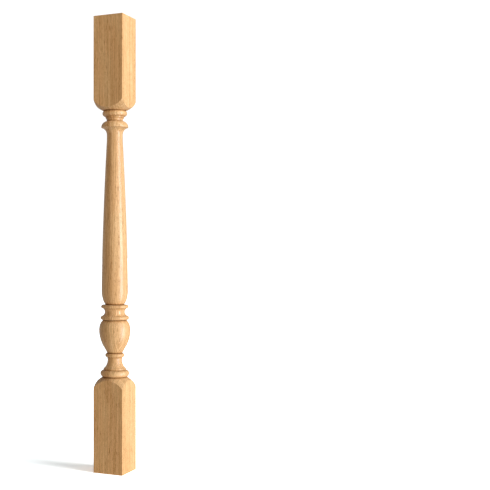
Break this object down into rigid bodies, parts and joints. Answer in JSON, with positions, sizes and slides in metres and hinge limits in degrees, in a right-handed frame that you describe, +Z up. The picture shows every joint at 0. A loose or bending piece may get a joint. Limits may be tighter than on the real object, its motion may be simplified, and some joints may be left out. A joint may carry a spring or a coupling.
{
  "type": "turned wooden baluster",
  "caption": "Turned stair baluster with a square block at each end, beads, a vase and a long tapering shaft, in clear-finished light oak.",
  "frame": {"origin": "middle of the underside of the lower block, on the axis of turning", "axes": "+Z up along the axis of turning; +X and +Y square to the faces of the two blocks"},
  "size_m": [0.063, 0.063, 0.9],
  "materials": {
    "oak": "light oak, sanded smooth, under a clear satin coat"
  },
  "bodies": {
    "root": {"baluster": "oak"}
  },
  "joints": []
}
